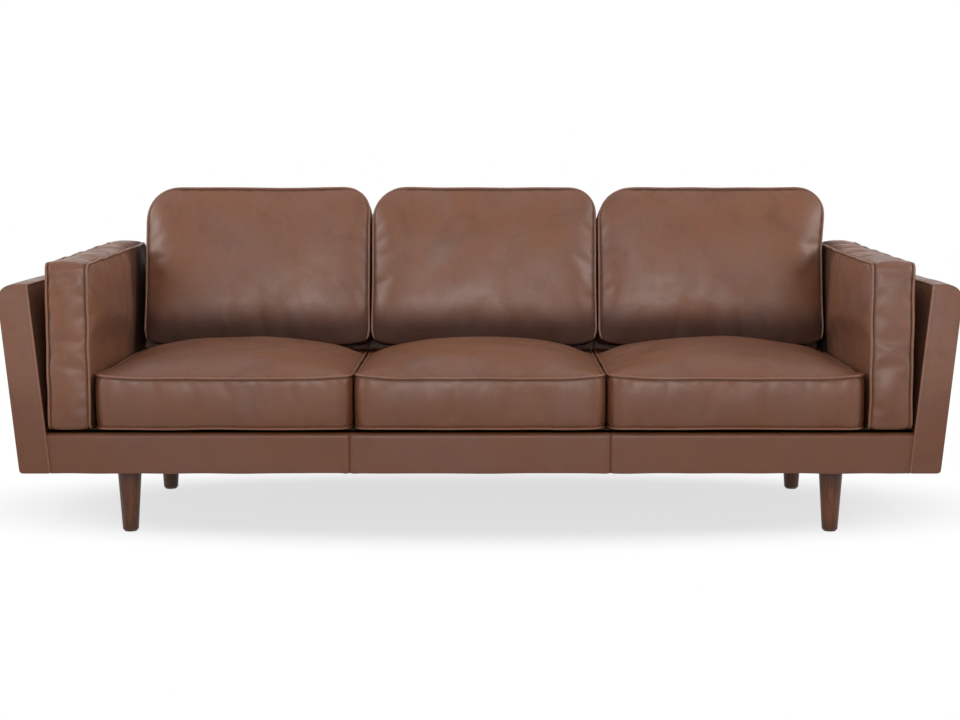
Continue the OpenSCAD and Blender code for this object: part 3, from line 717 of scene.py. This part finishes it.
def seat_cushion(side, seed):
    low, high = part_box(f"seat_{side}_piping")
    cx, cy = (low.x + high.x) / 2, (low.y + high.y) / 2
    u, v = (high.x - low.x) / 2 - PIPE_R, (high.y - low.y) / 2 - PIPE_R
    top = high.z - PIPE_R
    thick = top - (low.z + PIPE_R)

    def crown(s, t):
        return SEAT_CROWN * 0.9 * bow(s, 2.1, 0.72) * bow(t, 2.8, 0.7)

    block = Block([(-u, -v), (u, -v), (u, v), (-u, v)], SEAT_RADII, thick, 13 * MM, 12 * MM, seed, crown,
                  bulge=SEAT_BULGE, pull=SEAT_PULL)
    cap = np.where(block.is_a, 14 * MM, np.where(block.is_band, 3.0 * MM, 0.3 * MM))
    block.inflate(0.012, cap)
    block.verts[block.is_a, 2] *= SEAT_CROWN / block.verts[block.is_a, 2].max()
    block.soften(1.6 * MM, 0.22)
    block.sink_seams()
    block.pucker(1.3 * MM, 0.034, 26 * MM)
    block.lift_corners((u - CORNER_IN, -v + CORNER_IN), CORNER_LIFT, 62 * MM)
    block.wander(0.7 * MM, 0.2)
    block.verts[block.is_b, 2] = np.maximum(block.verts[block.is_b, 2], low.z - top + LIFTED)
    # The back cushion's foot presses a step into the top
    y, z = block.verts[:, 1] + cy, block.verts[:, 2]
    room = back_underside(y) - DENT_GAP - top
    room = room + OPEN * (1 - smoothstep(y, DENT_START, DENT_START + DENT_LENGTH))
    block.verts[block.is_a, 2] = np.minimum(z, np.maximum(room, -1 * MM))[block.is_a]
    block.press_sides(u)
    place_cushion(block, f"seat_{side}", lambda p: p + np.array([cx, cy, top]))


# ---- Back cushions: they lean on the back, and their leather hangs over their feet ----
BACK_Y = 95 * MM  # where the line of the cushions' rear meets the deck
BACK_LOW_R = 24 * MM
BACK_R = 95 * MM
BACK_CROWN = 46 * MM
BACK_SWELL = 2 * MM  # how far the rear panel and the band swell, and the sides pull in
BACK_INSET = 8 * MM  # the front seam sits this much behind the CAD's, with a fuller crown
BACK_RAISE = 10 * MM  # the bottom seams sit this much above the CAD's, tucked under
BACK_HANG = 44 * MM  # the leather over the front one slides down by this much
BACK_FOLD = 27 * MM  # and so hangs this far below that seam
BACK_SAG = 6 * MM  # how far the middle of the foot hangs below its corners
BACK_PUFF = 7 * MM  # how far the folded leather swells below all that
BACK_SHIFT = 9 * MM  # the row in the photograph sits a little to the right
lean_sin, lean_cos = math.sin(BACK_LEAN), math.cos(BACK_LEAN)


def back_foot():
    """Where the back cushions' front bottom seam is: y and z."""
    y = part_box("back_middle_piping")[0].y + PIPE_R
    z = deck_z + (y - BACK_Y) / math.tan(BACK_LEAN)
    return y + BACK_INSET * lean_cos, z - BACK_INSET * lean_sin


def back_underside(y):
    """The lowest that a back cushion's leather hangs, at depth y."""
    foot_y, foot_z = back_foot()
    return foot_z - BACK_PUFF + BACK_RAISE - BACK_FOLD - BACK_SAG - math.tan(BACK_LEAN) * (y - foot_y)


def sagging(grid, s, t):
    """The foot of a back cushion hangs lower in the middle."""
    sag = BACK_SAG * (1 - np.abs(2 * s - 1) ** 2.6) * (1 - smoothstep(t, 0, 0.35))
    return grid - np.stack([0 * s, sag], axis=-1)


def back_cushion(side, seed, right_r, flare):
    """right_r rounds the top right corner; the right edge leans out over the arm cushion by flare."""
    low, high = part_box(f"back_{side}_piping")
    cx, u = (low.x + high.x) / 2, (high.x - low.x) / 2 - PIPE_R
    v1 = (high.z - deck_z - PIPE_R) / lean_cos
    v0 = (low.y + PIPE_R - BACK_Y) / lean_sin + BACK_RAISE
    thick = (deck_z + (v0 - BACK_RAISE) * lean_cos - PIPE_R - low.z) / lean_sin

    def crown(s, t):
        return BACK_CROWN * 0.85 * bow(s, 3.4, 0.55) * bow(t, 2.3, 0.6, 0.25)

    def rear_crown(s, t):
        return BACK_SWELL * bow(s, 3) * bow(t, 3)

    radii = [BACK_LOW_R, BACK_LOW_R, right_r, BACK_R]
    block = Block([(-u, v0), (u, v0), (u, v1), (-u, v1)], radii, thick - BACK_INSET, 12 * MM, 13 * MM, seed,
                  crown, rear_crown, BACK_SWELL, BACK_SWELL, sagging)
    front = block.is_a
    block.inflate(0.014, np.where(front, 20 * MM, np.where(block.is_band, 4 * MM, 2 * MM)))
    block.verts[front, 2] *= BACK_CROWN / block.verts[front, 2].max()
    across, up = np.abs(block.verts[:, 0] / u), (block.verts[:, 1] - v0) / (v1 - v0)
    hang = BACK_HANG * (1 - 0.5 * across ** 9) * (1 - smoothstep(up, 0.06, 0.34))
    block.verts[front, 1] -= (hang * smoothstep(up, 0, 0.03) * smoothstep(1 - across, 0, 0.03))[front]
    # Painted shade: the lowest part of the front, where the leather folds under onto the seat, is painted
    # nearly black
    block.painted_shade = 0.92 * (1 - smoothstep(up, 0.12, 0.26)) * front
    block.soften(1.5 * MM, 0.2)
    block.sink_seams()

    def low_corners(p):
        return 0.25 + 1.6 * smoothstep(v0 + 0.13 - p[:, 1], 0, 0.13) * smoothstep(np.abs(p[:, 0]), 0.1, 0.3)

    block.pucker(1.6 * MM, 0.03, 26 * MM, low_corners)
    block.wander(0.8 * MM, 0.2)
    block.press_sides(u)
    high_up = smoothstep(block.verts[:, 1] - v0, 0.24, 0.36)
    block.verts[:, 0] += flare * smoothstep(block.verts[:, 0] / u, 0.5, 1) * high_up

    def place(p):
        out = p[:, 2] - BACK_INSET
        y = BACK_Y - out * lean_cos + p[:, 1] * lean_sin
        z = deck_z + out * lean_sin + p[:, 1] * lean_cos
        # It rests against the sofa's back, up to the back's top edge, and stays off the seat
        against = back_in(z) - FREE + OPEN * smoothstep(z, arm_z - 5 * MM, arm_z + 30 * MM)
        z = np.where(y > DENT_START, np.maximum(z, back_underside(y)), z)
        return np.stack([cx + BACK_SHIFT + p[:, 0], np.minimum(y, against), z], axis=1)

    place_cushion(block, f"back_{side}", place, 0.7)


# ---- Arm cushions, standing on the deck against the arms ----
ARM_CUSHION_RADII = [14 * MM, 12 * MM, 44 * MM, 20 * MM]
ARM_CROWN = 13 * MM
ARM_BULGE = 6.5 * MM
ARM_PULL = 2.0 * MM
SEAT_REAR = 300 * MM  # beside the seats the inner side stays flat up to SEAT_SIDE_TOP at this depth,
SEAT_SIDE_TOP = 425 * MM  # and higher towards the front, as a seat rises while it slides out
SEAT_SLOPE = 0.1


def inset(pts, t):
    """A convex outline, drawn anticlockwise, moved inward by t."""
    out = []
    for i in range(len(pts)):
        a = pts[i] - pts[i - 1]
        b = pts[(i + 1) % len(pts)] - pts[i]
        a = np.array([-a[1], a[0]]) / norm(a)
        b = np.array([-b[1], b[0]]) / norm(b)
        out.append(pts[i] + t * (a + b) / (1 + a @ b))
    return np.array(out)


def arm_cushion(side, sign, seed):
    low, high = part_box(f"arm_{side}_piping")
    inner = (low.x if sign > 0 else high.x) + sign * PIPE_R
    thick = high.x - low.x - 2 * PIPE_R
    z0 = low.z + PIPE_R
    top = ARM_CUSHION_FRONT + ARM_CUSHION_RISE

    def rear(z):
        return back_in(z) - FREE

    def crown(s, t):
        return ARM_CROWN * bow(s, 3, 0.6) * bow(t, 3, 0.6)

    outer = np.array([(low.y, low.z), (rear(low.z), low.z), (rear(top), top), (low.y, ARM_CUSHION_FRONT)])
    block = Block(inset(outer, PIPE_R), ARM_CUSHION_RADII, thick, 13 * MM, 11 * MM, seed, crown, crown,
                  ARM_BULGE, ARM_PULL)
    a, b, band = block.is_a, block.is_b, block.is_band
    y, z = block.verts[:, 0], block.verts[:, 1]
    # Panel A faces the seats, which hold it flat up to their own height, and panel B faces the arm
    open_a = smoothstep(z, 0.40, 0.50) * (1 - 0.85 * smoothstep(y, 0.0, 0.14))
    open_b = 0.35 + 0.65 * smoothstep(z, 0.33, 0.48)
    block.verts[a, 2] *= (0.12 + 0.88 * open_a[a])
    block.verts[b, 2] = -thick + (block.verts[b, 2] + thick) * open_b[b]
    cap = np.where(a, 1.5 * MM + 9 * MM * open_a, np.where(band, 8 * MM, 9 * MM * open_b))
    cap = np.where(band & (z < z0 + 30 * MM), 0.4 * MM, cap)
    block.inflate(0.016, cap)
    block.soften(1.4 * MM, 0.18)
    block.sink_seams()
    block.pucker(1.9 * MM, 0.032, 26 * MM, lambda p: 0.3 + 1.3 * smoothstep(p[:, 1], 0.56, 0.68))
    # Painted shade: the side facing the seats, and the band next to it, is painted darker towards the rear
    y, h = block.verts[:, 0], block.verts[:, 2]
    block.painted_shade = 0.8 * smoothstep(y, -0.02, 0.15) * smoothstep(h, -0.4 * thick, 0)
    block.wander(1.3 * MM, 0.13)
    y, z = block.verts[:, 0], block.verts[:, 1]
    seat_side = SEAT_SIDE_TOP + SEAT_SLOPE * (SEAT_REAR - y)
    limit = SIDE_SWELL + 25 * MM * smoothstep(z, seat_side, seat_side + 0.1)
    block.verts[a, 2] = np.minimum(block.verts[:, 2], limit)[a]
    block.verts[:, 0] = np.minimum(y, rear(z))
    block.verts[:, 1] = np.maximum(z, deck_z + LIFTED)

    def place(p):
        return np.stack([inner - sign * p[:, 2], p[:, 0], p[:, 1]], axis=1)

    place_cushion(block, f"arm_{side}", place)


BACK_RIGHT_RADII = (72 * MM, 76 * MM, 74 * MM)
BACK_FLARES = (0, 0, 7 * MM)
for number, side in enumerate(("left", "middle", "right")):
    seat_cushion(side, 11 + 7 * number)
    back_cushion(side, 41 + 5 * number, BACK_RIGHT_RADII[number], BACK_FLARES[number])
for number, (side, sign) in enumerate((("left", -1), ("right", 1))):
    arm_cushion(side, sign, 71 + 9 * number)


# ---- Arms: leather drawn over a padded wooden shape ----
FACE_CROWN = 2.6 * MM
ARM_SWELL = 1.4 * MM


def arm_rear(z):
    """Where the arm ends behind, at height z: the leaning rear, rounded over at the top."""
    centre_z = arm_z - EDGE_R
    start = centre_z - EDGE_R * math.sin(OUTBACK_LEAN)
    rise = np.minimum(z, arm_z) - centre_z
    arc = rear_y - EDGE_R + np.sqrt(np.maximum(EDGE_R ** 2 - rise ** 2, 0))
    return np.where(z < start, back_out(np.minimum(z, start)), arc)


def arm_leather(side, sign, seed):
    corners = [(face(z), z) for face, z in
               ((arm_in, base_z), (arm_out, base_z), (arm_out, arm_z), (arm_in, arm_z))]
    block = Block(corners, [3 * MM, 10 * MM, EDGE_R, 3 * MM], 1.0, 12 * MM, 0.014, seed)
    x, z = block.verts[:, 0].copy(), block.verts[:, 1].copy()
    share = -block.verts[:, 2]  # 0 at the front seam, 1 at the rear one
    ends = arm_rear(z)
    y = face_y + share * (ends - face_y)
    across = np.abs((x - (arm_in(z) + ARM_T / 2)) / (ARM_T / 2))
    up = np.abs(2 * (z - base_z) / (arm_z - base_z) - 1)
    face = (1 - np.clip(across, 0, 1) ** 2.4) * (1 - up ** 6)
    y = np.where(block.is_a, y - FACE_CROWN * np.clip(face, 0, 1), y)
    block.verts = np.stack([x, y, z], axis=1)
    along = np.minimum(y - face_y, ends - y)
    block.seam_distance = np.where(block.is_band, np.maximum(along, 0), block.seam_distance)
    inside = np.abs(x - arm_in(z)) < 6 * MM
    swell = block.is_band * smoothstep(along, 0, 60 * MM)
    block.push(np.where(inside, 0.0, ARM_SWELL) * swell * (0.6 + 0.6 * ripple(block.verts, 0.3, seed)))
    block.pucker(0.9 * MM, 0.034, 22 * MM)
    block.seam_distance = np.where(block.is_b, 1.0, block.seam_distance)
    world = block.verts * np.array([sign, 1, 1])
    # Darker beside the seams: the seams' own line, and painted shade beside the piping
    piece = add_piece(f"arm_{side}_upholstery", world, block.faces, "sofa_frame", "leather",
                      (f"arm_cover_{side}",), 1, 0.35 * block.seam_and_painted_shade())


def bent_line(points, radius, step):
    """A path through points in space, with its corners rounded."""
    pts = [np.array(p, float) for p in points]
    out = [pts[0]]
    for a, b, c in zip(pts, pts[1:], pts[2:]):
        u, v = (a - b) / norm(a - b), (c - b) / norm(c - b)
        for t in np.linspace(0, 1, 7):
            out.append((1 - t) ** 2 * (b + u * radius) + 2 * t * (1 - t) * b + t ** 2 * (b + v * radius))
    out.append(pts[-1])
    return resample(np.array(out), np.linspace(0, 1, int(path_length(out) / step) + 1))


def arm_cords():
    """Piping up each arm's front edge beside the seats and along its top to the back."""
    low, top = base_z + PIPE_R, arm_z - 2 * MM
    cords = []
    for sign in (-1, 1):
        path = bent_line([(sign * arm_in(low), face_y, low), (sign * arm_in(top), face_y, top),
                          (sign * arm_in(top), back_in(arm_z), top)], 9 * MM, 8 * MM)
        cords.append(tube(path, CORD_R, False))
    verts, faces = joined(cords)
    add_piece("arm_cord", verts, faces, "sofa_frame", "piping_leather", ("arm_piping",))


arm_leather("left", -1, 91)
arm_leather("right", 1, 97)
arm_cords()


# ---- Back and apron: a profile swept along the sofa, gathered at its vertical seams ----
COVER_FIT = 0.1 * MM  # between these covers' ends and the arms
SEAMS = (-SEAM_X, SEAM_X)


def stations(half, step):
    """Places along X: even, and close together at the seams and the ends."""
    near = [2 * MM, 5 * MM, 9 * MM]
    even = 15 * MM  # from here on
    ends = [-half, *SEAMS, half]
    out = []
    for a, b in zip(ends, ends[1:]):
        count = max(2, int(round((b - a - 2 * even) / step)))
        out += [a, *[a + d for d in near], *np.linspace(a + even, b - even, count + 1)]
        out += [b - d for d in near[::-1]]
    return np.array(out + [half])


def swept_leather(name, profile, replaces, seed, bump_out, seam_depth):
    """profile is a closed loop of (y, z), drawn between the arms, and bump_out(profile) its unevenness."""
    half0 = arm_in(arm_z) - COVER_FIT
    half = arm_in(profile[:, 1]) - COVER_FIT
    xs = stations(half0, 16 * MM)
    count = len(profile)
    out = outward(profile)
    uneven = bump_out(profile)
    verts, seam = [], []
    for x in xs:
        near = min(abs(x - s) for s in SEAMS)
        gathered = 0.7 * MM * math.exp(-((near - 14 * MM) / (9 * MM)) ** 2)
        dent = -seam_depth * math.exp(-(near / (3.5 * MM)) ** 2) + gathered
        px = x / half0 * half if abs(x) > SEAM_X + 20 * MM else np.full(count, x)
        held = np.clip(px, -half + 1 * MM, half - 1 * MM)
        px = np.where(np.abs(x) >= half0 - 1e-9, np.sign(x) * half, held)
        pts = np.stack([px, profile[:, 0], profile[:, 1]], axis=1)
        free = smoothstep(near, 0, 60 * MM) * smoothstep(half0 - abs(x), 0, 60 * MM)
        shift = dent * (uneven > 0) + ripple(pts, 0.26, seed) * uneven * free
        pts[:, 1:] += out * shift[:, None]
        verts.append(pts)
        seam.append(np.full(count, math.exp(-(near / (3 * MM)) ** 2)))
    faces = ring_faces(len(xs), count)
    faces += [tuple(range(count)), tuple((len(xs) - 1) * count + k for k in range(count))[::-1]]
    piece = add_piece(name, np.concatenate(verts), faces, "sofa_frame", "leather", replaces,
                      seam=np.concatenate(seam), split_over=4)


def dense(corners, radii, step=14 * MM):
    """A rounded outline with points every step along its straight sides."""
    line, _ = rounded(corners, radii)
    out = []
    for a, b in zip(line, np.roll(line, -1, 0)):
        count = max(1, int(norm(b - a) / step))
        out += [a + (b - a) * k / count for k in range(count)]
    return np.array(out)


def back_leather():
    skin = COVER_T / math.cos(OUTBACK_LEAN)
    profile = dense([
        (back_in(rail_top), rail_top), (back_out(rail_top) - skin, rail_top),
        (back_out(base_z) - skin, base_z), (back_out(base_z), base_z),
        (back_corner, arm_z), (back_in(arm_z), arm_z)],
        [2 * MM, 2 * MM, 1 * MM, 2 * MM, EDGE_R, 14 * MM])

    def bump_out(p):
        return np.where((p[:, 0] > back_out(p[:, 1]) - 45 * MM) & (p[:, 1] > base_z + 20 * MM), 1.3 * MM, 0.0)

    swept_leather("back_upholstery", profile, ("back_cover",), 131, bump_out, 1.6 * MM)


def apron_leather():
    under, roll, roll_top = apron_y + COVER_T, apron_y + ROLL_D, rail_top + ROLL_RISE
    profile = dense([
        (apron_y, base_z), (under, base_z), (under, rail_top), (roll, rail_top), (roll, roll_top),
        (apron_y, roll_top)], [2 * MM, 1 * MM, 1 * MM, 1 * MM, 5 * MM, 11 * MM], 8 * MM)
    swept_leather("apron_upholstery", profile, ("apron_cover",), 137,
                  lambda p: np.where(p[:, 0] < apron_y + 6 * MM, 0.9 * MM, 0.0), 1.4 * MM)


back_leather()
apron_leather()


# ---- Deck cloth and dust cover: thin sheets, each with its own cut size ----
SHEET_T = 1 * MM
SHEET_STEP = 60 * MM
PLATE_SIDE = 66 * MM
PLATE_EDGE = 1 * MM  # how far outside the leg plates the dust cover is cut


def thin_sheet(name, xs, rows, hole, slot, replaces, seed, sag):
    """A closed sheet over a grid: rows are the (y, z) of its line in depth, hole(x, y) leaves a cell out."""
    rows = np.array(rows)
    grid = np.array([[(x, y, z) for y, z in rows] for x in xs])
    wide, deep = xs[-1] - xs[0], rows[-1, 0] - rows[0, 0]
    rel_x = np.abs(grid[..., 0] - (xs[0] + xs[-1]) / 2) / wide * 2
    rel_y = np.abs(grid[..., 1] - (rows[0, 0] + rows[-1, 0]) / 2) / deep * 2
    free = (1 - rel_x ** 6) * (1 - np.clip(rel_y, 0, 1) ** 4)
    uneven = ripple(grid.reshape(-1, 3), 0.3, seed).reshape(free.shape)
    grid[..., 2] -= sag * free * (0.7 + 0.3 * uneven)
    nx, ny = free.shape
    size = nx * ny
    verts = np.concatenate([grid.reshape(-1, 3), (grid - (0, 0, SHEET_T)).reshape(-1, 3)])
    cells = []
    for i in range(nx - 1):
        for j in range(ny - 1):
            middle = (grid[i, j] + grid[i + 1, j + 1]) / 2
            if not hole(middle[0], middle[1]):
                cells.append((i * ny + j, (i + 1) * ny + j, (i + 1) * ny + j + 1, i * ny + j + 1))
    faces = cells + [tuple(size + k for k in reversed(c)) for c in cells]
    sides = {(c[k], c[(k + 1) % 4]) for c in cells for k in range(4)}
    faces += [(b, a, size + a, size + b) for a, b in sides if (b, a) not in sides]
    cloth = add_piece(name, verts, faces, "sofa_frame", slot, replaces)
    area = 0
    for a, b, c, _ in cells:
        area += abs((verts[b] - verts[a])[0]) * norm((verts[c] - verts[b])[1:])
    path_length(rows)


def marks(stops, step):
    """Places between stops, even within each stretch and no further apart than step."""
    out = [stops[0]]
    for a, b in zip(stops, stops[1:]):
        out += list(np.linspace(a, b, max(1, math.ceil((b - a) / step)) + 1)[1:])
    return out


def deck_cloth():
    low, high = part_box("seat_deck")
    rows = [(low.y, low.z), (low.y, high.z - 2 * MM), (low.y + 2 * MM, high.z)]
    rows += [(y, high.z) for y in marks([low.y + 20 * MM, high.y], 40 * MM)]
    thin_sheet("deck_sheet", marks([low.x, high.x], SHEET_STEP), rows, lambda x, y: False, "deck_cloth",
               ("seat_deck",), 151, 1.5 * MM)


def dust_cloth():
    low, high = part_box("dust_cover")
    plates_low, plates_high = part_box("leg_plates")

    def stops(k):
        a, b = plates_low[k] - PLATE_EDGE, plates_high[k] + PLATE_EDGE
        across = PLATE_SIDE + 2 * PLATE_EDGE
        return [low[k], a, a + across, b - across, b, high[k]]

    xs, ys = stops(0), stops(1)

    def hole(x, y):
        return (xs[1] < x < xs[2] or xs[3] < x < xs[4]) and (ys[1] < y < ys[2] or ys[3] < y < ys[4])

    rows = [(y, high.z) for y in marks(ys, 50 * MM)]
    thin_sheet("dust_sheet", marks(xs, SHEET_STEP), rows, hole, "dust_cloth", ("dust_cover",),
               157, 3 * MM)


deck_cloth()
dust_cloth()


# ---- Stage and light ----
FLOOR_HALF = 14.0
FLOOR_MIX = 0.7  # the glow's share of the floor near the sofa; further out there is only glow
WORLD_LIGHT = 0.25
OVERHEAD_LIGHT = 0.28
WHITE = (1, 1, 1, 1)


def make_floor():
    """A matt floor for the sofa's shadow, with a white glow that only the camera and reflections see."""
    mesh = bpy.data.meshes.new("floor")
    corners = [(x * FLOOR_HALF, y * FLOOR_HALF, 0) for x, y in ((-1, -1), (1, -1), (1, 1), (-1, 1))]
    mesh.from_pydata(corners, [], [(0, 1, 2, 3)])
    floor = bpy.data.objects.new("floor", mesh)
    scene.collection.objects.link(floor)
    n = new_material("floor_white")
    faint = n.span(n.noise(3, 2), 0.3, 0.7)
    matt = n.mix(faint, (0.60, 0.60, 0.60, 1), (0.63, 0.63, 0.63, 1))
    mesh.materials.append(n.finish(matt, n.span(faint, 0, 1, 0.7, 0.75), Specular_IOR_Level=0.1))
    path = n.add("ShaderNodeLightPath")
    passed_on = n.math("MAXIMUM", path["Is Glossy Ray"], path["Is Transmission Ray"])
    shown = n.math("MAXIMUM", path["Is Camera Ray"], passed_on)
    oval = n.add("ShaderNodeVectorMath", {0: n.mapped((0.42, 1.0, 1.0))}, operation="LENGTH")["Value"]
    share = n.math("MULTIPLY", shown, n.span(oval, 0.40, 0.70, FLOOR_MIX, 1.0))
    glow = n.add("ShaderNodeEmission", {"Color": WHITE, "Strength": 1.0})["Emission"]
    own = n.tree.nodes["Principled BSDF"].outputs["BSDF"]
    shader = n.add("ShaderNodeMixShader", {"Fac": share, 1: own, 2: glow})["Shader"]
    n.feed(n.tree.nodes["Material Output"].inputs, {"Surface": shader})


def make_world():
    """White to the camera. Glossy rays see that white at the horizon and a dimmer studio overhead."""
    scene.world = bpy.data.worlds.new("studio")
    n = Nodes(scene.world)
    path = n.add("ShaderNodeLightPath")
    way_up = n.add("ShaderNodeSeparateXYZ", {"Vector": n.coords["Generated"]})["Z"]
    shiny = n.math("MULTIPLY", path["Is Glossy Ray"], n.span(way_up, 0.2, 0.6, 1.0, OVERHEAD_LIGHT))
    clear = n.math("MAXIMUM", path["Is Camera Ray"], path["Is Transmission Ray"])
    seen = n.math("MAXIMUM", clear, shiny)
    level = n.add("ShaderNodeMapRange", {"Value": seen, "To Min": WORLD_LIGHT, "To Max": 1.0})["Result"]
    n.feed(n.tree.nodes["Background"].inputs, {"Color": WHITE, "Strength": level})


def area_light(name, place, target, size, power, mirrored=True):
    data = bpy.data.lights.new(name, "AREA")
    data.shape = "RECTANGLE"
    data.size, data.size_y = size
    data.energy = power
    lamp = bpy.data.objects.new(name, data)
    lamp.location = place
    lamp.rotation_euler = (Vector(target) - Vector(place)).to_track_quat("-Z", "Y").to_euler()
    lamp.visible_glossy = mirrored
    scene.collection.objects.link(lamp)


make_floor()
make_world()
area_light("overhead", (0, 0.3, 3.4), (0, 0.1, 0.3), (4.2, 2.0), 52, False)
area_light("front", (0, -5.4, 1.7), (0, 0, 0.7), (3.0, 1.4), 106)
for name, x in (("left_soft", -3.8), ("right_soft", 3.8)):
    area_light(name, (x, -1.1, 1.9), (0, 0, 0.5), (1.6, 2.0), 60)
scene.view_settings.view_transform = "Standard"
